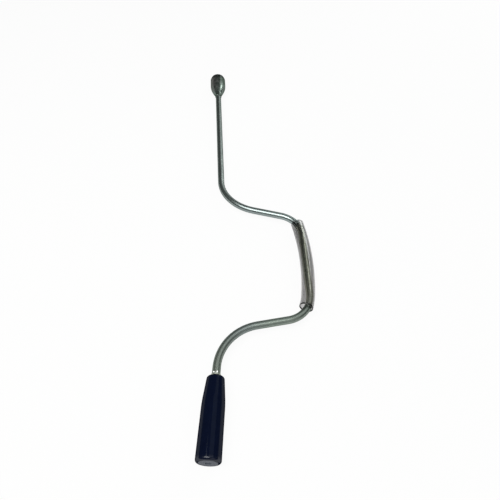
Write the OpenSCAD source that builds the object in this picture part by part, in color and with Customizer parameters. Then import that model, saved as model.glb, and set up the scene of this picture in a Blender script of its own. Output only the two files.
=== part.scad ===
// A hand winder for corner steadies: one bent round bar with a hexagon socket at the far end,
// a loose clear guard tube on its throw and a free-turning moulded grip on its journal.
// Origin at the centre of the socket's mouth, +Y out of the socket, +X towards the throw,
// +Z up as the winder lies on a flat surface. Millimetres.

/* [Bar] */
// Diameter of the round bar
bar_dia = 9.5; // [8:0.5:12]
// Straight shaft, from the socket's mouth to the first bend
shaft_len = 288; // [200:1:380]
// Centreline radius of the shaft's bend
bend1_r = 65; // [40:1:80]
// Turn of the shaft's bend, in degrees
bend1_turn = 72.5; // [50:0.5:88]
// Straight part of the upper arm
arm1_len = 40; // [15:1:70]
// Centreline radius of the bend into the throw
bend2_r = 38; // [24:1:50]
// Turn of the bend into the throw, in degrees
bend2_turn = 74.5; // [50:0.5:88]
// Straight part of the throw
throw_len = 101; // [80:1:140]
// Centreline radius of the bend out of the throw
bend3_r = 36; // [24:1:50]
// Turn of the bend out of the throw, in degrees
bend3_turn = 80; // [60:0.5:90]
// Straight part of the lower arm
arm2_len = 38.25; // [15:0.25:60]
// Centreline radius of the journal's bend
bend4_r = 58; // [40:1:75]
// Turn of the journal's bend, in degrees
bend4_turn = 76.25; // [60:0.25:90]

/* [Socket] */
// Hexagon drive across its flats
drive_af = 19; // [13:1:24]
// Freedom of the hexagon on the screw's head
drive_play = 0.3; // [0.1:0.05:0.6]
// Depth of the hexagon
drive_depth = 30; // [20:1:38]
// Wall outside the hexagon, at a flat
socket_wall = 3.5; // [2:0.05:4.5]
// How far the rounded corners stand outside the flats
socket_corner = 0.6; // [0.4:0.1:1.9]
// Parallel length of the socket, before it draws in
socket_body = 26; // [14:1:32]
// Overall length of the socket, with its neck
socket_len = 58; // [50:1:80]
// Wall left round the bar at the end of the neck
neck_wall = 0.55; // [0.4:0.05:1.5]

/* [Grip] */
// Length of the grip
grip_len = 90; // [75:0.5:115]
// Diameter of the grip at its top
grip_neck_dia = 20.2; // [18:0.1:24]
// Diameter at the end of the grip's cone
grip_waist_dia = 25.5; // [24:0.1:32]
// Diameter of the grip at its lower end
grip_end_dia = 26.8; // [25:0.1:34]
// Length of the grip's cone
grip_cone_len = 29.5; // [20:0.5:40]
// Corner radius at the top of the grip
grip_top_round = 3.4; // [1:0.1:5]
// Corner radius at the lower end of the grip
grip_end_round = 3; // [1:0.1:4]
// Wall of the grip's shell
grip_wall = 2.6; // [2:0.1:3.5]
// Wall of the grip's core tube
core_wall = 2.1; // [1.6:0.1:2.6]
// Number of ribs between the core and the shell
rib_count = 6; // [3:1:8]
// Thickness of a rib
rib_thick = 1.6; // [1:0.1:2.4]
// Radial freedom of the grip on the bar
grip_play = 0.1; // [0.03:0.01:0.1]
// Bar left bare between the journal's bend and the grip
journal_bare = 11; // [9:0.5:20]

/* [Sleeve] */
// Radial freedom of the guard tube on the bar
sleeve_play = 3; // [2.5:0.1:4]
// Wall of the guard tube
sleeve_wall = 1; // [0.8:0.1:1.2]
// How far the tube reaches past each end of the throw
sleeve_reach = 20; // [10:0.5:21]
// How far the tube lies drawn along the throw towards the shaft
sleeve_slide = 1.5; // [-1:0.1:1.5]
// How far the tube's bow draws in between the throw's middle and its ends
sleeve_draw = 3.3; // [2.8:0.1:3.6]
// How far the bow's middle stands outside the throw
sleeve_shift = 1.3; // [0.8:0.1:1.6]

/* [Hidden] */
$fn = 96;
eps = 0.02;
bar_r = bar_dia / 2;
bend_bar_r = bar_r - 0.03;

// socket
drive_r = (drive_af + drive_play) / 2;
drive_corner = drive_r / cos(30);
flat_r = drive_r + socket_wall;
corner_r = flat_r + socket_corner;
neck_r = bar_r + neck_wall;
neck_corner_r = neck_r + 0.35;
bar_seat = drive_depth + 7;
mouth_drop = 1.5;
mouth_curl = 3.5;
mouth_r = (mouth_drop * mouth_drop + mouth_curl * mouth_curl) / (2 * mouth_drop);
mouth_lead = 1.3;

// staked ears on the bar above the grip
ear_at = 5.4;
ear_r = 2;
ear_out = 0.45;
pit_r = 1.3;
pit_at = 2.4;

// grip, measured from its top face
neck_face_r = grip_neck_dia / 2;
waist_r = grip_waist_dia / 2;
end_r = grip_end_dia / 2;
cone_tilt = atan((waist_r - neck_face_r) / (grip_cone_len - grip_top_round));
barrel_tilt = atan((end_r - waist_r) / (grip_len - grip_end_round - grip_cone_len));
waist_arc_r = 150;
waist_half = waist_arc_r * tan((cone_tilt - barrel_tilt) / 2);
waist_from = grip_cone_len - waist_half * cos(cone_tilt);
waist_to = grip_cone_len + waist_half * cos(barrel_tilt);
bore_r = bar_r + grip_play;
bore_relief_r = bore_r + 0.35;
core_r = bore_r + core_wall;
web_depth = 13;
core_end = grip_len - 17.5;
rib_end = core_end - 3;
cavity_r = end_r - grip_wall - 0.5;
cavity_top_r = neck_face_r - 1.5;
cavity_waist_r = waist_r - grip_wall;
cavity_cone_end = grip_cone_len + 3;

// plug, washer and push-on ring
plug_fit = 0.05;
plug_disc = 2.2;
plug_skirt = 5;
plug_wall = 1.7;
bead_r = 0.7;
bead_at = grip_len - plug_disc - 3;
seat_from = grip_len - plug_disc - plug_skirt - 1;
rib_foot = rib_end - 6;
rib_foot_r = cavity_waist_r
    + (cavity_r - cavity_waist_r) * (rib_foot - cavity_cone_end) / (seat_from - cavity_cone_end);
float_gap = 0.15;
spigot_r = bar_r - 0.75;
washer_thick = 1;
washer_r = core_r + 2.2;
washer_at = core_end + float_gap;
ring_at = washer_at + washer_thick;
ring_sheet = 0.5;
ring_rim_r = spigot_r + 4;
ring_fold_r = spigot_r + 1.6;
ring_rise = 1.3;
ring_bite = 0.05;
ring_slots = 6;
journal_end = core_end + 7;

// guard tube, as a bow drawn through the throw
sleeve_bore_r = bar_r + sleeve_play;
sleeve_len = throw_len + 2 * sleeve_reach;
sleeve_bow_r = throw_len * throw_len / (8 * sleeve_draw);

// The bar's route. Each step carries its children to where the next piece starts,
// with local -Y along the bar.
module past_left(r, turn)
    translate([r, 0, 0]) rotate([0, 0, turn]) translate([-r, 0, 0]) children();

module past_right(r, turn)
    translate([-r, 0, 0]) rotate([0, 0, -turn]) translate([r, 0, 0]) children();

module past_run(len)
    translate([0, -len, 0]) children();

module at_bend1()
    past_run(shaft_len) children();

module at_arm1()
    at_bend1() past_left(bend1_r, bend1_turn) children();

module at_bend2()
    at_arm1() past_run(arm1_len) children();

module at_throw()
    at_bend2() past_right(bend2_r, bend2_turn) children();

module at_bend3()
    at_throw() past_run(throw_len) children();

module at_arm2()
    at_bend3() past_right(bend3_r, bend3_turn) children();

module at_bend4()
    at_arm2() past_run(arm2_len) children();

module at_journal()
    at_bend4() past_left(bend4_r, bend4_turn) children();

module at_grip()
    at_journal() past_run(journal_bare) children();

// local +Z laid along the bar
module along()
    rotate([90, 0, 0]) children();

module run(len)
    along() rotate([0, 0, 90]) cylinder(r = bar_r, h = len);

// Half of the space beside a bend: what lies past its start, or short of its end
module past_start(r)
    translate([-bar_r - 1, -r - bar_r - 1, -bar_r - 1]) cube([r + bar_r + 1, r + bar_r + 1, bar_dia + 2]);

module short_of_end(r)
    translate([-bar_r - 1, 0, -bar_r - 1]) cube([r + bar_r + 1, r + bar_r + 1, bar_dia + 2]);

// A whole ring of bar, kept between the plane where the bend starts and the plane where it ends.
// Bending draws the bar down by a hair, so a bend is thinner than the straights beside it.
module bend_left(r, turn)
    intersection() {
        translate([r, 0, 0]) rotate_extrude($fn = 240) translate([r, 0]) circle(r = bend_bar_r, $fn = 96);
        past_start(r);
        past_left(r, turn) short_of_end(r);
    }

module bend_right(r, turn)
    mirror([1, 0, 0]) bend_left(r, turn);

// One ear at each side of the bar, raised by two punch marks above and two below
module staked_ears() {
    for (side = [-1, 1])
        translate([side * (bar_r + ear_out - ear_r), -ear_at, 0]) sphere(r = ear_r);
}

module punch_marks() {
    for (side = [-1, 1], face = [-1, 1])
        translate([side * pit_at, -ear_at, face * sqrt(bar_r * bar_r - pit_at * pit_at)])
            rotate([0, face * side * 30, 0]) translate([0, 0, face * 0.5]) sphere(r = pit_r);
}

module crank_bar() color([0.55, 0.59, 0.54]) {
    past_run(bar_seat) run(shaft_len - bar_seat);
    at_bend1() bend_left(bend1_r, bend1_turn);
    at_arm1() run(arm1_len);
    at_bend2() bend_right(bend2_r, bend2_turn);
    at_throw() run(throw_len);
    at_bend3() bend_right(bend3_r, bend3_turn);
    at_arm2() run(arm2_len);
    at_bend4() bend_left(bend4_r, bend4_turn);
    difference() {
        union() {
            at_journal() run(journal_bare + washer_at);
            at_journal() staked_ears();
        }
        at_journal() punch_marks();
    }
    at_grip() along() translate([0, 0, washer_at]) cylinder(r = spigot_r, h = journal_end - washer_at - 1);
    at_grip() along() translate([0, 0, journal_end - 1]) cylinder(r1 = spigot_r, r2 = spigot_r - 1, h = 1);
}

// Outline of the socket as a half width over its length: parallel, then an outward curve
// and an inward one that end on the neck. The outward curve stands a hair outside both of
// its neighbours, so that it crosses them instead of only touching.
module tulip(wide, narrow) {
    drop = wide - narrow;
    fall = socket_len - socket_body;
    both = (drop * drop + fall * fall) / (2 * drop);
    out_r = 0.52 * both;
    in_r = both - out_r;
    meet_x = wide - out_r + out_r * (both - drop) / both;
    meet_y = socket_body + out_r * fall / both;
    square([wide, socket_body]);
    intersection() {
        translate([0, socket_body]) square([wide, meet_y - socket_body + 3]);
        translate([wide - out_r + eps, socket_body]) circle(r = out_r, $fn = 240);
    }
    difference() {
        translate([0, meet_y]) square([meet_x + 1, socket_len - meet_y]);
        translate([narrow + in_r, socket_len]) circle(r = in_r, $fn = 240);
    }
}

// What the turned mouth leaves of the socket: a curve that rises from the flat mouth to the full width
module turned_mouth() {
    translate([0, -1]) square([corner_r - mouth_r, mouth_curl + 1]);
    translate([corner_r - mouth_r + eps, mouth_curl]) circle(r = mouth_r);
    translate([0, mouth_curl]) square([corner_r + 1, socket_len]);
}

// The hexagon carried down to the neck: the outline drawn out three ways and kept where all agree,
// with its ridges and its mouth turned to a round
module socket_form() {
    intersection() {
        intersection() {
            rotate([0, 0, 90]) hex_slab();
            rotate([0, 0, 30]) hex_slab();
            rotate([0, 0, 150]) hex_slab();
        }
        rotate([0, 0, 15]) rotate_extrude() intersection() {
            turned_mouth();
            tulip(corner_r, neck_corner_r);
        }
    }
}

module hex_slab()
    rotate([90, 0, 0]) translate([0, 0, -30]) linear_extrude(60) {
        tulip(flat_r, neck_r);
        mirror([1, 0]) tulip(flat_r, neck_r);
    }

module drive_socket() color([0.36, 0.44, 0.40])
    along() difference() {
        socket_form();
        translate([0, 0, -1]) cylinder(r = drive_corner, h = drive_depth + 1, $fn = 6);
        translate([0, 0, -eps]) cylinder(r1 = drive_corner + 0.1, r2 = drive_r - 0.1, h = mouth_lead);
        translate([0, 0, drive_depth - eps])
            cylinder(r1 = drive_r - 0.2, r2 = bar_r, h = bar_seat - drive_depth + eps);
        translate([0, 0, bar_seat - 1]) cylinder(r = bar_r, h = socket_len - bar_seat + 2);
    }

module throw_sleeve() color([0.70, 0.72, 0.74, 0.5]) {
    half = sleeve_len / sleeve_bow_r * 90 / PI;
    at_throw() translate([sleeve_shift - sleeve_bow_r, sleeve_slide - throw_len / 2, 0]) rotate([0, 0, -half])
        rotate_extrude(angle = 2 * half, $fn = 2400)
            translate([sleeve_bow_r, 0]) difference() {
                circle(r = sleeve_bore_r + sleeve_wall, $fn = 72);
                circle(r = sleeve_bore_r, $fn = 72);
            }
}

// Outside of the grip as a half section: rounded top, cone, a long soft waist, a barrel with
// moulding draft and a rounded lower end
module grip_outline() {
    waist_x = waist_r - waist_half * sin(cone_tilt);
    waist_y = waist_r + waist_half * sin(barrel_tilt);
    square([neck_face_r - grip_top_round, grip_top_round]);
    intersection() {
        translate([neck_face_r - grip_top_round, grip_top_round]) circle(r = grip_top_round);
        square([neck_face_r, grip_top_round]);
    }
    polygon([[0, grip_top_round], [neck_face_r, grip_top_round], [waist_x, waist_from], [0, waist_from]]);
    intersection() {
        translate([waist_x - waist_arc_r * cos(cone_tilt), waist_from + waist_arc_r * sin(cone_tilt)])
            circle(r = waist_arc_r, $fn = 2400);
        translate([0, waist_from]) square([end_r, waist_to - waist_from]);
    }
    polygon([[0, waist_to], [waist_y, waist_to], [end_r, grip_len - grip_end_round], [0, grip_len - grip_end_round]]);
    translate([0, grip_len - grip_end_round]) square([end_r - grip_end_round, grip_end_round]);
    intersection() {
        translate([end_r - grip_end_round, grip_len - grip_end_round]) circle(r = grip_end_round);
        translate([0, grip_len - grip_end_round]) square([end_r, grip_end_round]);
    }
}

module grip_cavity() {
    polygon([[core_r, web_depth], [cavity_top_r, web_depth], [cavity_waist_r, cavity_cone_end],
        [cavity_r, seat_from], [cavity_r, grip_len + 1], [0, grip_len + 1], [0, core_end], [core_r, core_end]]);
    translate([cavity_r - 0.35, bead_at]) circle(r = bead_r);
}

module grip_shell() color([0.06, 0.08, 0.16])
    at_grip() along() {
        difference() {
            rotate_extrude() grip_outline();
            rotate_extrude() grip_cavity();
            translate([0, 0, -1]) cylinder(r = bore_r, h = core_end + 2);
            translate([0, 0, 18]) cylinder(r = bore_relief_r, h = core_end - 34);
        }
        for (i = [0 : rib_count - 1])
            rotate([0, 0, 360 / rib_count * i]) intersection() {
                translate([core_r - 0.6, -rib_thick / 2, web_depth - 0.5])
                    cube([end_r - core_r, rib_thick, rib_end - web_depth + 0.5]);
                rotate_extrude() rib_outline();
            }
    }

module rib_outline()
    polygon([[core_r - 1, web_depth - 1], [cavity_top_r + 0.6, web_depth - 1],
        [cavity_waist_r + 0.6, cavity_cone_end], [rib_foot_r + 0.6, rib_foot], [core_r - 1, rib_end]]);

module end_plug() color([0.42, 0.44, 0.47])
    at_grip() along() {
        difference() {
            rotate_extrude() {
                translate([0, grip_len - plug_disc]) square([cavity_r - plug_fit, plug_disc]);
                translate([cavity_r - plug_fit - plug_wall, grip_len - plug_disc - plug_skirt])
                    square([plug_wall, plug_skirt + 1]);
                translate([cavity_r - 0.35 - plug_fit, bead_at]) circle(r = bead_r - plug_fit);
            }
            translate([0, 0, grip_len - 0.5]) cylinder(r = 3, h = 1);
        }
    }

module stop_washer() color([0.60, 0.62, 0.62])
    at_grip() along() translate([0, 0, washer_at]) difference() {
        cylinder(r = washer_r, h = washer_thick);
        translate([0, 0, -1]) cylinder(r = spigot_r + 0.1, h = washer_thick + 2);
    }

module push_on_ring() color([0.35, 0.34, 0.32])
    at_grip() along() translate([0, 0, ring_at]) difference() {
        rotate_extrude() polygon([
            [ring_fold_r, 0], [ring_rim_r, 0], [ring_rim_r, ring_sheet], [ring_fold_r + 0.2, ring_sheet],
            [spigot_r - ring_bite, ring_rise + ring_sheet], [spigot_r - ring_bite, ring_rise]]);
        for (i = [0 : ring_slots - 1])
            rotate([0, 0, 360 / ring_slots * i]) translate([0, -0.4, -1]) cube([ring_fold_r - 0.1, 0.8, 5]);
    }

crank_bar();
drive_socket();
throw_sleeve();
grip_shell();
end_plug();
stop_washer();
push_on_ring();
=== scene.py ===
"""Looks for a hand winder: one bent plated bar with a hexagon socket, a loose clear guard
tube on its throw and a moulded grip on its journal. Metres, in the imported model's frame:
origin at the socket's mouth, +Y out of the socket, the bar's bends in the XY plane."""

import bpy
import numpy as np
from mathutils import Matrix


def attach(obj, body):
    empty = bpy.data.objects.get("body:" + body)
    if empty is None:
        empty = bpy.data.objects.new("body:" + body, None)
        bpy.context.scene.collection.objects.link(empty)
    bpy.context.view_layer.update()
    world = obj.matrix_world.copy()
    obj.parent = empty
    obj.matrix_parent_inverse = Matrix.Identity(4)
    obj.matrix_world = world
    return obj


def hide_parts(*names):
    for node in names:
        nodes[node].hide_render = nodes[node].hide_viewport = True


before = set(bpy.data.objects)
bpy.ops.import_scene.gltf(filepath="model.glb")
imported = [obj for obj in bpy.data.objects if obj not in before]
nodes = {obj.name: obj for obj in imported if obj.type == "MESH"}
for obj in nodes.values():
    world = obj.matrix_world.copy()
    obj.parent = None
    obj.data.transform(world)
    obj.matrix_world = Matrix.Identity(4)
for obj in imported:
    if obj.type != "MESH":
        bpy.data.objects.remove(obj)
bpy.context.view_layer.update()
MM = 0.001

# The camera: held over the grip's end, looking down along the winder. Its place and turn were
# found from the bar's bends, and the picture is 500 pixels square.
CAMERA_AT = np.array([-1.42, -820.62, 486.82]) * MM
CAMERA_RIGHT = np.array([0.99776, -0.06152, 0.02625])
CAMERA_BACK = np.array([-0.05925, -0.63071, 0.77375])
FOCAL_PIXELS = 465
IMAGE_PIXELS = 500
SENSOR = 36
NEAREST_SEEN = 10 * MM


def unit(vector):
    return vector / np.linalg.norm(vector)


def placing(right, up, back, at):
    """The matrix that stands something at a point, looking against back, with its own right and up."""
    placed = np.eye(4)
    placed[:3] = np.stack([right, up, back, at], 1)
    return Matrix(placed.tolist())


camera = bpy.data.objects.new("camera", bpy.data.cameras.new("camera"))
bpy.context.scene.collection.objects.link(camera)
camera.data.sensor_width = SENSOR
camera.data.lens = SENSOR * FOCAL_PIXELS / IMAGE_PIXELS
camera.data.clip_start = NEAREST_SEEN
back = unit(CAMERA_BACK)
up = unit(np.cross(back, CAMERA_RIGHT))
camera.matrix_world = placing(np.cross(up, back), up, back, CAMERA_AT)
bpy.context.scene.camera = camera
bpy.context.scene.view_settings.view_transform = "Standard"

# The studio: a plain white floor under the grip, a wide soft lamp high on the camera's left, weaker
# ones on the other sides, and a dim room all round that the metal mirrors.
MIDDLE = np.array([0.03, -0.35, 0.0])
ROOM_TINT = (0.9, 1.0, 0.95, 1)
ROOM_STRENGTH = 0.13
FLOOR_Z = -13.5 * MM
FLOOR_R = 6.0
FLOOR_CORNERS = 128
PAPER = (0.86, 0.86, 0.86, 1)
WHITE = (1, 1, 1, 1)
PAPER_GLOW = 0.93
DUST_ROUGHNESS = 0.6
DUST_FROM, DUST_FULL = 0.35, 0.7


class Signal:
    """A shader socket. An expression on signals and numbers adds the Math nodes that work it out."""

    def __init__(self, finish, socket):
        self.finish, self.socket = finish, socket

    def worked(self, operation, first, second):
        return self.finish.node("ShaderNodeMath", {"operation": operation}, {0: first, 1: second})

    def __add__(self, other):
        return self.worked("ADD", self, other)

    def __radd__(self, other):
        return self.worked("ADD", other, self)

    def __sub__(self, other):
        return self.worked("SUBTRACT", self, other)

    def __rsub__(self, other):
        return self.worked("SUBTRACT", other, self)

    def __mul__(self, other):
        return self.worked("MULTIPLY", self, other)

    def __rmul__(self, other):
        return self.worked("MULTIPLY", other, self)


class Finish:
    """A material and the nodes that make it."""

    def __init__(self, name, tree=None):
        self.material = None
        if tree is None:
            self.material = bpy.data.materials.new(name)
            self.material.use_nodes = True
            tree = self.material.node_tree
        self.tree = tree
        self.tree.nodes.clear()

    def node(self, kind, settings=None, sockets=None, out=0):
        """Adds a node: its settings first, a ramp's stops among them, then its sockets' values or links."""
        made = self.tree.nodes.new(kind)
        for key, value in (settings or {}).items():
            if key == "stops":
                ramp = made.color_ramp.elements
                while len(ramp) < len(value):
                    ramp.new(0.5)
                for element, (place, colour) in zip(ramp, value):
                    element.position, element.color = place, colour
            else:
                setattr(made, key, value)
        for key, value in (sockets or {}).items():
            if isinstance(value, Signal):
                self.tree.links.new(value.socket, made.inputs[key])
            else:
                made.inputs[key].default_value = value
        return Signal(self, made.outputs[out]) if made.outputs else None

    def ramp(self, signal, *stops):
        """A grey curve through (place, height) stops."""
        stops = [(place, (height, height, height, 1)) for place, height in stops]
        return self.node("ShaderNodeValToRGB", {"stops": stops}, {"Fac": signal})

    def blend(self, share, first, second):
        """One colour turning into another as share goes from 0 to 1."""
        sockets = {"Factor": share, 6: first, 7: second}
        return self.node("ShaderNodeMix", {"data_type": "RGBA"}, sockets, out=2)

    def noise(self, place, scale, detail=2.0, roughness=0.5):
        """Soft patches, about scale of them to a metre."""
        sockets = {"Vector": place, "Scale": scale, "Detail": detail, "Roughness": roughness}
        return self.node("ShaderNodeTexNoise", {}, sockets)

    def times(self, first, second):
        """Two colours or places multiplied. A stretched place makes a pattern run long one way."""
        return self.node("ShaderNodeVectorMath", {"operation": "MULTIPLY"}, {0: first, 1: second})

    def part_of(self, place, axis):
        """One coordinate of a place, by its axis: X, Y or Z."""
        return self.node("ShaderNodeSeparateXYZ", {}, {0: place}, out=axis)

    def own_place(self):
        return self.node("ShaderNodeTexCoord", {}, {}, out="Object")

    def own_uv(self):
        return self.node("ShaderNodeTexCoord", {}, {}, out="UV")

    def painted(self, name):
        """The number painted on the mesh under a name."""
        return self.node("ShaderNodeAttribute", {"attribute_name": name}, {}, out="Fac")

    def surface(self, **values):
        """The shader at the end, with bump= height signal and depth= in metres. rim= is how much of the
        gloss a dusty surface loses where it turns away."""
        bump, depth, rim = values.pop("bump", None), values.pop("depth", None), values.pop("rim", None)
        sockets = {key.replace("_", " "): value for key, value in values.items()}
        if bump is not None:
            raised = {"Height": bump, "Distance": depth, "Strength": 1.0}
            sockets["Normal"] = self.node("ShaderNodeBump", {}, raised)
        shader = self.node("ShaderNodeBsdfPrincipled", {}, sockets)
        if rim is not None:
            dusty = {"Specular IOR Level": 0.0, "Coat Weight": 0.0, "Roughness": DUST_ROUGHNESS}
            dust = self.node("ShaderNodeBsdfPrincipled", {}, {**sockets, **dusty})
            away = self.node("ShaderNodeLayerWeight", {}, {"Blend": 0.5}, out="Facing")
            share = self.ramp(away, (DUST_FROM, 0.0), (DUST_FULL, 1.0)) * rim
            shader = self.node("ShaderNodeMixShader", {}, {0: share, 1: shader, 2: dust})
        self.node("ShaderNodeOutputMaterial", {}, {"Surface": shader})
        return self.material


def lamp(name, azimuth, elevation, distance, size, watts, colour):
    """A soft rectangular lamp that looks at the winder's middle. Azimuth 0 is +Y and 90 is +X."""
    light = bpy.data.lights.new(name, "AREA")
    light.shape, light.size, light.size_y = "RECTANGLE", size[0], size[1]
    light.energy, light.color = watts, colour
    az, el = np.radians([azimuth, elevation])
    away = np.array([np.cos(el) * np.sin(az), np.cos(el) * np.cos(az), np.sin(el)])
    side = unit(np.cross([0, 0, 1], away))
    made = bpy.data.objects.new(name, light)
    made.matrix_world = placing(side, np.cross(away, side), away, MIDDLE + distance * away)
    bpy.context.scene.collection.objects.link(made)


lamp("key_lamp", -140, 66, 1.6, (1.25, 1.1), 21, (1.0, 0.99, 0.97))
lamp("far_lamp", 34, 26, 1.8, (1.3, 1.5), 4.5, (0.97, 1.0, 0.98))
lamp("side_lamp", 45, 27, 1.6, (0.34, 0.8), 3.4, (0.95, 1.0, 0.97))
lamp("ceiling", 77, 66, 1.8, (1.5, 1.2), 3.7, (0.98, 1.0, 1.0))
lamp("near_wall", 152, 28, 2.0, (1.3, 1.3), 2.6, (0.98, 1.0, 0.98))

room = bpy.data.worlds.new("room")
room.use_nodes = True
bpy.context.scene.world = room
air = Finish("room", room.node_tree)
walls = air.node("ShaderNodeBackground", {}, {"Color": ROOM_TINT, "Strength": ROOM_STRENGTH})
air.node("ShaderNodeOutputWorld", {}, {"Surface": walls})

paper = Finish("white_floor")
straight = paper.node("ShaderNodeLightPath", {}, {}, out="Is Camera Ray")
mirrored = paper.node("ShaderNodeLightPath", {}, {}, out="Is Glossy Ray")
through = paper.node("ShaderNodeLightPath", {}, {}, out="Is Transmission Ray")
any_of_them = {0: straight + mirrored + through, 1: 1.0}
seen = paper.node("ShaderNodeMath", {"operation": "MINIMUM"}, any_of_them)
matt = paper.node("ShaderNodeBsdfDiffuse", {}, {"Color": PAPER})
glow = paper.node("ShaderNodeEmission", {}, {"Color": WHITE, "Strength": 1.0})
lit = paper.node("ShaderNodeMixShader", {}, {0: seen * PAPER_GLOW, 1: matt, 2: glow})
paper.node("ShaderNodeOutputMaterial", {}, {"Surface": lit})

turned = np.linspace(0, 2 * np.pi, FLOOR_CORNERS, endpoint=False)
edge = np.stack([FLOOR_R * np.cos(turned), FLOOR_R * np.sin(turned), FLOOR_Z + 0 * turned], -1)
floor_mesh = bpy.data.meshes.new("floor")
floor_mesh.from_pydata(edge.tolist(), [], [list(range(FLOOR_CORNERS))])
floor_mesh.materials.append(paper.material)
floor = bpy.data.objects.new("floor", floor_mesh)
bpy.context.scene.collection.objects.link(floor)

# The bar: round steel bent cold in one plane, then zinc plated, so that it shows fine drawn lines,
# a crystal mottle and a tint that drifts along it. Above the grip two ears stand at its sides,
# raised by punch marks, and keep the grip from climbing.
BAR_R = 4.75 * MM
BAR_FROM = 37 * MM
SHAFT = 288 * MM
BENDS = [(65 * MM, 72.5), (38 * MM, -74.5), (36 * MM, -80.0), (58 * MM, 76.25)]
STRAIGHTS = [40 * MM, 101 * MM, 38.25 * MM]
JOURNAL = 11 * MM
GRIP_CORE = 72.5 * MM
WASHER_PLAY, SPIGOT_LONG = 0.15 * MM, 7 * MM
SHOULDER = JOURNAL + GRIP_CORE + WASHER_PLAY
SPIGOT_END = JOURNAL + GRIP_CORE + SPIGOT_LONG
SPIGOT_R = 4.0 * MM
CHAMFER = 1 * MM
BEND_EASE = 6 * MM
BEND_THINNED, BEND_OVAL = 0.03 * MM, 0.05 * MM
EAR_AT = 8.5 * MM
EAR_RISE, EAR_LONG, EAR_WIDE = 0.6 * MM, 1.0 * MM, 2.2 * MM
EAR_STEEPNESS = 1.3
EAR_TURNS = np.radians([0, 180])
MARK_AT = 7.1 * MM
MARK_TURNS = np.radians([78, 121, 258, 301])
MARK_DEPTH, MARK_R = 0.72 * MM, 1.6 * MM
MARK_SHINES, MARK_DULL = 1.2 * MM, 1.5 * MM
COVERED_PAST, COVER_EASE = 19 * MM, 5 * MM
RUBBED, RUB_EASE = 0.4, 0.6 * MM
ROUND_STEPS = 144
RING_STEP, FINE_STEP = 2 * MM, 0.08 * MM
FINE_REACH, STEP_CLEAR = 3 * MM, 0.3 * MM
STEP_WIDTH = 0.001 * MM
WORN_DEEP, WORN_PALE = (0.24, 0.264, 0.255, 1), (0.352, 0.382, 0.369, 1)
# Lighter plating for two things: the band rubbed bright past the ears, and painted light under the guard
# tube, which makes up for the lamp light that the tube's walls take away.
RUBBED_AND_TUBE_LIGHT_DEEP, RUBBED_AND_TUBE_LIGHT_PALE = (0.80, 0.82, 0.69, 1), (0.95, 0.96, 0.80, 1)
STRUCK_STEEL = (0.95, 0.96, 0.94, 1)
HAND_GREASE = (0.16, 0.18, 0.16, 1)
HANDLED_FROM, HANDLED_OVER = 500 * MM, 100 * MM
EDGE_GREY = (0.25, 0.28, 0.25, 1)
DRAWN_LINES, CRYSTALS = (2600, 60, 1), (500, 260, 1)
TINTS = [(0.44, (0.98, 1.0, 1.01, 1)), (0.50, (0.95, 1.02, 1.045, 1)),
         (0.62, (0.95, 1.02, 1.045, 1)), (0.78, (1.0, 1.03, 0.97, 1)),
         (0.87, (0.98, 1.06, 0.97, 1)), (0.92, (0.95, 1.0, 1.04, 1)), (1.0, (1.02, 1.05, 0.95, 1))]


def lengths_along():
    """(length, turn in radians) of each stretch of the bar from the socket's mouth to the spigot's
    end. A bend is as long as its radius times its turn."""
    stretches = [(SHAFT, 0.0)]
    for (radius, degrees), straight in zip(BENDS, STRAIGHTS + [SPIGOT_END]):
        stretches += [(radius * np.radians(abs(degrees)), np.radians(degrees)), (straight, 0.0)]
    return np.array(stretches)


STRETCHES = lengths_along()
STARTS = np.concatenate([[0], np.cumsum(STRETCHES[:, 0])])
THROW_AT, THROW_END = STARTS[4:6]
JOURNAL_AT = STARTS[8]
EAR_PLACE = JOURNAL_AT + EAR_AT
STEP_DOWN = JOURNAL_AT + SHOULDER
BAR_END = JOURNAL_AT + SPIGOT_END


def centreline(along):
    """Points and headings at distances along the bar. The heading is the sum of the bends passed, and
    each step is a chord of its arc: 2 r sin(half the turn), laid at the mean heading."""
    stations = np.unique(np.concatenate([along, STARTS, [0.0]]))
    done = np.clip((stations[:, None] - STARTS[:-1]) / STRETCHES[:, 0], 0, 1)
    heading = -np.pi / 2 + done @ STRETCHES[:, 1]
    half = np.diff(heading) / 2
    chord = np.diff(stations) * np.sinc(half / np.pi)
    mean = heading[:-1] + half
    steps = chord[:, None] * np.stack([np.cos(mean), np.sin(mean)], -1)
    place = np.concatenate([[[0, 0]], np.cumsum(steps, 0)])
    found = np.searchsorted(stations, along)
    return place[found], heading[found]


def carried(along, out, lift):
    """Points beside the centreline: out to the left of the way the bar runs, and lift above it."""
    place, heading = centreline(np.ravel(along))
    place, heading = place.reshape(*np.shape(along), 2), heading.reshape(np.shape(along))
    x = place[..., 0] - np.sin(heading) * out
    y = place[..., 1] + np.cos(heading) * out
    return np.stack([x, y, lift + 0 * out], -1)


def laid_out(along, around):
    """A UV map in metres, with x round the piece and y along it."""
    return np.stack(np.meshgrid(along, around, indexing="ij")[::-1], -1)


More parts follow.
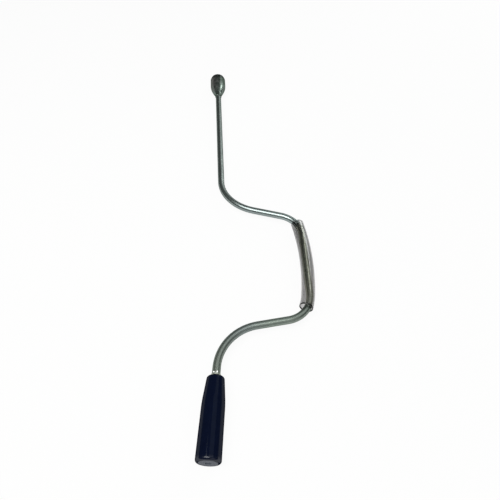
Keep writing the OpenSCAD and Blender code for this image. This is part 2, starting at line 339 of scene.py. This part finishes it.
def skin(name, points, uv=None, loop=False):
    """A mesh over a grid of points (rows, columns, 3), joined round its columns. With loop the last
    row joins the first, as on a ring; otherwise a fan to its middle closes each end. uv holds one
    row more than the points with loop, and one column more either way."""
    rows, columns = points.shape[:2]
    row, column = np.meshgrid(np.arange(rows if loop else rows - 1), np.arange(columns), indexing="ij")
    row, column = row.ravel(), column.ravel()
    after = (column + 1) % columns
    this_row, next_row = row * columns, (row + 1) % rows * columns
    faces = np.stack([this_row + column, this_row + after, next_row + after, next_row + column], -1).tolist()
    places = points.reshape(-1, 3)
    fans = np.zeros((0, 3), int)
    for at in () if loop else (0, rows - 1):
        ring = at * columns + np.arange(columns)
        following, middle = np.roll(ring, -1), np.full(columns, len(places))
        fan = [ring, following, middle] if at else [ring, middle, following]
        fans = np.concatenate([fans, np.stack(fan, -1)])
        places = np.concatenate([places, points[at].mean(0, keepdims=True)])
    mesh = bpy.data.meshes.new(name)
    mesh.from_pydata(places.tolist(), [], faces + fans.tolist())
    if uv is not None:
        sides = [uv[row, column], uv[row, column + 1], uv[row + 1, column + 1], uv[row + 1, column]]
        flat = np.concatenate([np.stack(sides, 1).reshape(-1, 2), places[fans.ravel()][:, [0, 2]]])
        layer = mesh.uv_layers.new(name="laid_out")
        layer.data.foreach_set("uv", flat.astype(np.float32).ravel())
    mesh.polygons.foreach_set("use_smooth", np.ones(len(mesh.polygons), bool))
    mesh.validate()
    made = bpy.data.objects.new(name, mesh)
    bpy.context.scene.collection.objects.link(made)
    return made


def fade(value, start, end):
    """0 before start and 1 past end, in a straight line between."""
    return np.clip((value - start) / (end - start), 0, 1)


def between(value, start, end, ease):
    """1 from start to end and 0 outside, with a straight slope of length ease inside each end."""
    return fade(value, start, start + ease) * fade(-value, -end, -end + ease)


def round_from(angle, line):
    """Distance round the bar from the line at an angle, the short way: radius times the angle between."""
    return BAR_R * ((angle - line + np.pi) % (2 * np.pi) - np.pi)


def to_mark(along, angle):
    """Distance over the bar to the nearest punch mark: the root of along squared and round squared."""
    past = along - JOURNAL_AT - MARK_AT
    return np.min([np.sqrt(past ** 2 + round_from(angle, line) ** 2) for line in MARK_TURNS], axis=0)


def bar_radius(along, angle):
    """The bar's radius at each place. A bend thins it, and makes it oval by the cosine of twice the
    angle. An ear adds EAR_RISE times e to the minus (distance squared) to the power EAR_STEEPNESS, with
    the distance counted in EAR_LONG along the bar and EAR_WIDE round it. A punch mark takes off
    MARK_DEPTH times 1 less the square of the distance over MARK_R. Past the step down it is the
    spigot's radius, which falls by as much as is gone of the chamfer."""
    radius = np.full(along.shape, BAR_R)
    for start, (length, bend) in zip(STARTS, STRETCHES):
        if bend:
            inside = between(along, start, start + length, BEND_EASE)
            radius = radius - inside * (BEND_THINNED + BEND_OVAL * np.cos(2 * angle))
    for line in EAR_TURNS:
        off = ((along - EAR_PLACE) / EAR_LONG) ** 2 + (round_from(angle, line) / EAR_WIDE) ** 2
        radius = radius + EAR_RISE * np.exp(-off ** EAR_STEEPNESS)
    radius = radius - MARK_DEPTH * np.clip(1 - (to_mark(along, angle) / MARK_R) ** 2, 0, 1)
    radius = np.where(along > STEP_DOWN, SPIGOT_R, radius)
    return radius - CHAMFER * fade(along, BAR_END - CHAMFER, BAR_END)


def bar_rows():
    """Distances along the bar for the mesh's rings: coarse ones, fine ones round the ears and marks,
    and two close together at the step down and the chamfer's ends."""
    plain = np.arange(BAR_FROM, BAR_END, RING_STEP)
    clear = (np.abs(plain - EAR_PLACE) > FINE_REACH) & (np.abs(plain - STEP_DOWN) > STEP_CLEAR)
    plain = plain[clear & (plain < BAR_END - 1.5 * CHAMFER)]
    fine = np.arange(EAR_PLACE - FINE_REACH, EAR_PLACE + FINE_REACH, FINE_STEP)
    steps = [STEP_DOWN, STEP_DOWN + STEP_WIDTH, BAR_END - CHAMFER, BAR_END]
    return np.unique(np.concatenate([plain, fine, steps]))


def paint(made, name, values):
    """A number at each point of the mesh, for its material to read. The caps' middles stay at 0."""
    layer = made.data.attributes.new(name, "FLOAT", "POINT")
    spread = np.zeros(len(made.data.vertices), np.float32)
    spread[:values.size] = values.ravel()
    layer.data.foreach_set("value", spread)


rows = bar_rows()
angle = np.linspace(0, 2 * np.pi, ROUND_STEPS + 1)
along, around = np.meshgrid(rows, angle[:-1], indexing="ij")
radius = bar_radius(along, around)
points = carried(along, radius * np.cos(around), radius * np.sin(around))
bar = skin("crank_bar_skin", points, laid_out(rows, angle * BAR_R))
# Painted light: along the throw, under the guard tube, the bar is painted much lighter to make up for the
# lamp light that the tube's walls take away. Past the ears it is lighter where rubbed.
painted_tube_light = between(along, THROW_AT - COVERED_PAST, THROW_END + COVERED_PAST, COVER_EASE)
rubbed = RUBBED * fade(along, EAR_PLACE - RUB_EASE, EAR_PLACE)
paint(bar, "bright", np.clip(painted_tube_light + rubbed, 0, 1))
paint(bar, "marks", 1 - fade(to_mark(along, around), MARK_SHINES, MARK_DULL))
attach(bar, "crank")
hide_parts("crank_bar")

plating = Finish("zinc_plating")
uv = plating.own_uv()
place = plating.own_place()
lines = plating.noise(plating.times(uv, DRAWN_LINES), 1.0, 3.0)
mottle = plating.noise(plating.times(uv, CRYSTALS), 1.0, 2.0, 0.6)
cloud = plating.noise(place, 28.0)
toward_grip = plating.part_of(place, "Y") * -1.0 - HANDLED_FROM
handled = plating.ramp(toward_grip * (1 / HANDLED_OVER) + cloud * 0.4, (0.2, 0.0), (0.6, 1.0))
tone = plating.ramp(mottle * 0.25 + lines * 0.25 + cloud * 0.5, (0.36, 0.0), (0.64, 1.0))
journey = plating.part_of(uv, "Y") * (1 / JOURNAL_AT)
tint = plating.node("ShaderNodeValToRGB", {"stops": TINTS}, {"Fac": journey})
worn = plating.times(plating.blend(tone, WORN_DEEP, WORN_PALE), tint)
worn = plating.blend(handled * 0.3, worn, HAND_GREASE)
# The lighter plating of the rubbed band, also used as painted light under the guard tube.
rubbed_and_tube_light = plating.blend(tone, RUBBED_AND_TUBE_LIGHT_DEEP, RUBBED_AND_TUBE_LIGHT_PALE)
struck = plating.painted("marks")
bar.data.materials.append(plating.surface(
    Base_Color=plating.blend(struck, plating.blend(plating.painted("bright"), worn, rubbed_and_tube_light), STRUCK_STEEL),
    Metallic=1.0,
    Roughness=0.25 + 0.12 * lines - 0.06 * tone + 0.08 * struck + 0.12 * handled,
    Specular_Tint=EDGE_GREY,
    bump=lines * 0.6 + mottle * 0.4, depth=0.01 * MM))

# The socket: a steel tube with its end closed down hot over the bar, so the hexagon's corners
# fade into ridges that run out along the neck. Plated with the bar, with painted light in a lighter
# brown on its upper left side, toward the key lamp, and darker towards its mouth.
DRIVE_R = 9.65 * MM
DRIVE_DEPTH = 30 * MM
LEAD_R, LEAD = 11.24 * MM, 1.3 * MM
LEAD_BLEND = 0.1 * MM
BOTTOM_STEP = 0.2 * MM
FLAT_R = 13.15 * MM
CORNER_R = 13.75 * MM
BODY = 21 * MM
BULGE = 0.72
SOCKET = 58 * MM
NECK_R = 5.3 * MM
NECK_RIDGE = 0.35 * MM
MOUTH_DROP, MOUTH_CURL = 1.5 * MM, 3.5 * MM
CREASE = 0.5 * MM
SOCKET_STEP = 0.75 * MM
SOCKET_COLUMNS = 180
CURL_ROWS, LEAD_ROWS = 8, 6
CURL_CROWDING = 1.5
PLATED_DEEP, PLATED_PALE = (0.136, 0.163, 0.148, 1), (0.25, 0.296, 0.27, 1)
# Painted light: a lighter brown for the socket's side that faces the key lamp.
LIT_SIDE_BROWN = (0.37, 0.33, 0.34, 1)
# A darker grey for the socket's last few millimetres toward its mouth.
MOUTH_DARK = (0.12, 0.12, 0.122, 1)
LIT_SIDE_PER_METRE_UP, LIT_SIDE_PER_METRE_LEFT, LIT_SIDE_LESS = 60.0, 55.0, 1.1
MOUTH_DARK_PER_METRE, MOUTH_DARK_AT_MOUTH = 60.0, 0.8


def drawn_in(along, wide, narrow):
    """Half width over the socket's length: parallel, then an arc that turns in and one that turns out
    again onto the neck. For a drop d over a length f, the two radii add up to (d^2 + f^2) / 2d."""
    drop, fall = wide - narrow, SOCKET - BODY
    both = (drop ** 2 + fall ** 2) / (2 * drop)
    first, second = BULGE * both, (1 - BULGE) * both
    turned_in = wide - first + np.sqrt(first ** 2 - np.clip(along - BODY, 0, fall) ** 2)
    turned_out = narrow + second - np.sqrt(second ** 2 - np.clip(SOCKET - along, 0, fall) ** 2)
    return np.where(along < BODY + BULGE * fall, turned_in, turned_out)


def lesser(first, second, soft):
    """The smaller of two, less the square of (soft - their difference) over 4 soft where they are
    closer than soft, which rounds the crease between them."""
    near = np.clip(soft - np.abs(first - second), 0, None) / soft
    return np.minimum(first, second) - near ** 2 * soft / 4


def socket_points():
    """Rings down the outside of the socket from its mouth to its neck, and back up inside through the
    bar's seat and the hexagon. A hexagon's radius is its flat's over cos(angle from the flat). The
    mouth's corner is an arc of radius (drop squared + curl squared) over twice the drop."""
    turn = np.linspace(0, 2 * np.pi, SOCKET_COLUMNS, endpoint=False)[None, :]
    stretch = 1 / np.cos(turn % (np.pi / 3) - np.pi / 6)
    curl_r = (MOUTH_DROP ** 2 + MOUTH_CURL ** 2) / (2 * MOUTH_DROP)
    curl = np.linspace(0, 1, CURL_ROWS + 1)[:-1] ** CURL_CROWDING * MOUTH_CURL
    out = np.concatenate([curl, np.arange(MOUTH_CURL, SOCKET, SOCKET_STEP), [SOCKET]])[:, None]
    mouth = curl_r - np.sqrt(curl_r ** 2 - np.clip(MOUTH_CURL - out, 0, None) ** 2)
    flats = drawn_in(out, FLAT_R, NECK_R) * stretch
    rounded = drawn_in(out, CORNER_R, NECK_R + NECK_RIDGE) - mouth
    outside = lesser(flats, rounded, CREASE)
    seat = [(SOCKET, BAR_R), (BAR_FROM, BAR_R), (DRIVE_DEPTH, DRIVE_R - BOTTOM_STEP)]
    rings = [(y, radius + 0 * stretch) for y, radius in seat]
    rings += [(y, DRIVE_R * stretch) for y in (DRIVE_DEPTH, DRIVE_DEPTH * 2 / 3, DRIVE_DEPTH / 3)]
    for y in np.linspace(LEAD, 0, LEAD_ROWS):
        cone = DRIVE_R - LEAD_BLEND + (LEAD_R - DRIVE_R + LEAD_BLEND) * (1 - y / LEAD)
        rings.append((y, np.maximum(DRIVE_R * stretch, cone)))
    along = np.concatenate([out.ravel(), [y for y, _ in rings]])[:, None]
    radius = np.concatenate([outside] + [ring for _, ring in rings])
    return np.stack([radius * np.cos(turn), -along + 0 * radius, radius * np.sin(turn)], -1)


socket = skin("socket_skin", socket_points(), loop=True)
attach(socket, "crank")
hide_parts("drive_socket")

closed_hot = Finish("socket_plating")
place = closed_hot.own_place()
grain = closed_hot.noise(place, 700.0, 3.0, 0.6)
patch = closed_hot.noise(place, 90.0, 3.0)
beaten = closed_hot.noise(place, 160.0, 1.0)
tone = closed_hot.ramp(grain * 0.3 + patch * 0.7, (0.35, 0.0), (0.65, 1.0))
# Painted light: higher up and further left, toward the key lamp, the socket is painted a lighter brown and
# made rougher.
above = closed_hot.part_of(place, "Z") * LIT_SIDE_PER_METRE_UP
upward_left = above - closed_hot.part_of(place, "X") * LIT_SIDE_PER_METRE_LEFT
painted_light_side = closed_hot.ramp(upward_left + patch * 1.4 - LIT_SIDE_LESS, (0.2, 0.0), (0.8, 1.0))
# Darker towards the mouth, over about the last 7 mm.
near_mouth = closed_hot.part_of(place, "Y") * MOUTH_DARK_PER_METRE + MOUTH_DARK_AT_MOUTH
darker_to_mouth = closed_hot.ramp(near_mouth + patch * 0.6, (0.35, 0.0), (0.75, 0.8))
plated = closed_hot.blend(tone, PLATED_DEEP, PLATED_PALE)
socket.data.materials.append(closed_hot.surface(
    Base_Color=closed_hot.blend(darker_to_mouth, closed_hot.blend(painted_light_side * 0.8, plated, LIT_SIDE_BROWN), MOUTH_DARK),
    Metallic=1.0,
    Roughness=0.16 + 0.16 * patch + 0.24 * painted_light_side,
    Specular_Tint=EDGE_GREY,
    bump=grain * 0.2 + beaten, depth=0.12 * MM))

# The guard tube: clear vinyl slipped over the throw so that the hand slides on it and not on the
# plating. It is loose, bows with the bar's bends, drapes at its lower end and looks a little smoky,
# with painted shade along its two sides and at its cut ends.
TUBE_R = 8.75 * MM
TUBE_WALL = 1.0 * MM
TUBE_LENGTH = 141 * MM
TUBE_BOW = 386.4 * MM
TUBE_SHIFT = 1.3 * MM
TUBE_SLIDE = 1.5 * MM
DRAPE_FROM = 52 * MM
DRAPE = 1.6 * MM
CUT_SOFT = 0.25 * MM
TUBE_ROWS, TUBE_COLUMNS = 70, 72
SMOKY_UPPER, SMOKY_LOWER = (0.40, 0.40, 0.395, 1), (0.57, 0.565, 0.565, 1)
BLACK = (0.0, 0.0, 0.0, 1)
# Painted shade for the tube's cut ends: near black, fully at the lower end and faintly at the upper one.
CUT_SHADE = (0.03, 0.03, 0.03, 1)
CUT_FROM, CUT_FULL = 0.970, 0.976
UPPER_CUT_SHADE = 0.15
# Painted shade: how much darker the tube's two sides are painted.
FLANK_SHADE = 0.24
DRAWN_STREAKS = (900, 25, 1)
VINYL_IOR = 1.5


def tube_walls():
    """(distance from the tube's middle, radius) of a ring profile: down the outer wall and back up the
    inner one, each drawn in by CUT_SOFT where the cut ends are rounded."""
    steps = np.linspace(-0.5, 0.5, TUBE_ROWS) * TUBE_LENGTH
    way = np.concatenate([steps[:1], steps[:1] + CUT_SOFT, steps[1:-1], steps[-1:] - CUT_SOFT, steps[-1:]])
    cut = np.zeros(len(way))
    cut[[0, -1]] = CUT_SOFT
    inner = TUBE_R - TUBE_WALL
    return np.concatenate([way, way[::-1]]), np.concatenate([TUBE_R - cut, inner + cut])


def tube_points(way, size, turn):
    """The walls carried along an arc that bows with the throw and stands off it, away from the arms:
    the angle on the arc is the distance over TUBE_BOW. Past DRAPE_FROM it drops by DRAPE times the
    square of the share gone, and tilts by that drop's slope, 2 DRAPE over the run times the share."""
    (middle,), (heading,) = centreline(np.array([(THROW_AT + THROW_END) / 2]))
    ahead = np.array([np.cos(heading), np.sin(heading)])
    outward = np.array([-ahead[1], ahead[0]])
    swing = way / TUBE_BOW
    run = TUBE_LENGTH / 2 - DRAPE_FROM
    fallen = np.clip(way - DRAPE_FROM, 0, None) / run
    tilt = swing + 2 * DRAPE / run * fallen
    aside = size * np.cos(turn)
    out = TUBE_BOW * (np.cos(swing) - 1) + TUBE_SHIFT - DRAPE * fallen ** 2 + aside * np.cos(tilt)
    onward = TUBE_BOW * np.sin(swing) - TUBE_SLIDE + aside * np.sin(tilt)
    flat = middle + out[..., None] * outward + onward[..., None] * ahead
    return np.concatenate([flat, (size * np.sin(turn))[..., None]], -1)


way, size = tube_walls()
turns = np.linspace(0, 2 * np.pi, TUBE_COLUMNS + 1)
points = tube_points(way[:, None], size[:, None], turns[None, :-1])
tube = skin("guard_tube", points, laid_out(np.append(way, way[0]), turns * TUBE_R), loop=True)
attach(tube, "crank")
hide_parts("throw_sleeve")

vinyl = Finish("clear_vinyl")
uv = vinyl.own_uv()
down = vinyl.part_of(uv, "Y") * (2 / TUBE_LENGTH)
# Painted shade: the last couple of millimetres at each cut end are painted near black.
lower_cut_shade = vinyl.ramp(down, (CUT_FROM, 0.0), (CUT_FULL, 1.0))
upper_cut_shade = vinyl.ramp(down * -1.0, (CUT_FROM, 0.0), (CUT_FULL, UPPER_CUT_SHADE))
streaks = vinyl.noise(vinyl.times(uv, DRAWN_STREAKS), 1.0)
haze = vinyl.noise(vinyl.own_place(), 60.0)
lower = vinyl.ramp(down * 0.5 + 0.5 + haze * 0.2, (0.1, 0.0), (0.8, 1.0))
# Painted shade: the tube's two sides are painted darker, standing in for the longer path through the wall
# where the tube turns away.
to_side = {0: vinyl.part_of(uv, "X") * (1 / TUBE_R)}
sideways = vinyl.node("ShaderNodeMath", {"operation": "COSINE"}, to_side)
painted_flank_shade = vinyl.ramp(sideways * sideways, (0.3, 0.0), (0.75, 1.0))
clear = vinyl.blend(painted_flank_shade * FLANK_SHADE, vinyl.blend(lower, SMOKY_UPPER, SMOKY_LOWER), BLACK)
tube.data.materials.append(vinyl.surface(
    Base_Color=vinyl.blend(lower_cut_shade + upper_cut_shade, clear, CUT_SHADE),
    Roughness=0.05 + 0.10 * haze,
    Transmission_Weight=1.0,
    IOR=VINYL_IOR,
    bump=streaks, depth=0.04 * MM))

# The grip: a navy plastic moulding that turns on the journal, glossy but dusty at its sides, and a
# grey plug pressed into its lower end. Hands have polished the last few millimetres.
GRIP_LENGTH = 90 * MM
POLISHED = 6 * MM
NAVY_DEEP, NAVY_PALE = (0.0018, 0.0032, 0.013, 1), (0.0034, 0.0060, 0.020, 1)
SLATE_DEEP, SLATE_PALE = (0.085, 0.095, 0.125, 1), (0.12, 0.13, 0.16, 1)
COOL_GLOSS, COOL_COAT = (0.75, 0.9, 1.0, 1), (0.8, 0.9, 1.0, 1)
SCUFFS = (900, 140, 900)

(journal_start,), (heading,) = centreline(np.array([JOURNAL_AT]))
grip_axis = np.array([np.cos(heading), np.sin(heading), 0.0])
grip_end = journal_start @ grip_axis[:2] + JOURNAL + GRIP_LENGTH

navy = Finish("navy_moulding")
place = navy.own_place()
swirl = navy.noise(place, 180.0, 3.0)
scuff = navy.noise(navy.times(place, SCUFFS), 1.0, 3.0, 0.6)
along_axis = {0: place, 1: grip_axis}
reached = navy.node("ShaderNodeVectorMath", {"operation": "DOT_PRODUCT"}, along_axis, out="Value")
polished = navy.ramp((reached - grip_end) * (1 / POLISHED) + 1.0, (0.15, 0.0), (0.6, 1.0))
grip = nodes["grip_shell"]
grip.data.materials.clear()
grip.data.materials.append(navy.surface(
    Base_Color=navy.blend(swirl, NAVY_DEEP, NAVY_PALE),
    Roughness=0.06 + 0.10 * scuff,
    Specular_IOR_Level=0.10,
    Specular_Tint=COOL_GLOSS,
    Coat_Weight=polished * 0.6,
    Coat_Roughness=0.12,
    Coat_Tint=COOL_COAT,
    rim=1.0,
    bump=swirl * 0.6 + scuff * 0.4, depth=0.03 * MM))

slate = Finish("plug_moulding")
fine = slate.noise(slate.own_place(), 700.0, 3.0)
plug = nodes["end_plug"]
plug.data.materials.clear()
plug.data.materials.append(slate.surface(
    Base_Color=slate.blend(fine, SLATE_DEEP, SLATE_PALE),
    Roughness=0.5 + 0.1 * fine,
    Specular_IOR_Level=0.15,
    bump=fine, depth=0.02 * MM))

# Inside the grip: a plain steel washer that the core turns against, and the toothed ring of spring
# steel, pushed onto the spigot, that holds it.
WASHER_DEEP, WASHER_PALE = (0.45, 0.45, 0.44, 1), (0.62, 0.62, 0.60, 1)
RING_DEEP, RING_PALE = (0.18, 0.17, 0.16, 1), (0.30, 0.29, 0.27, 1)

for name, deep, pale, rough in (("stop_washer", WASHER_DEEP, WASHER_PALE, 0.3),
                                ("push_on_ring", RING_DEEP, RING_PALE, 0.35)):
    steel = Finish(name + "_steel")
    ground = steel.noise(steel.own_place(), 1500.0)
    nodes[name].data.materials.clear()
    nodes[name].data.materials.append(steel.surface(
        Base_Color=steel.blend(ground, deep, pale),
        Metallic=1.0,
        Roughness=rough + 0.1 * ground,
        bump=ground, depth=0.01 * MM))
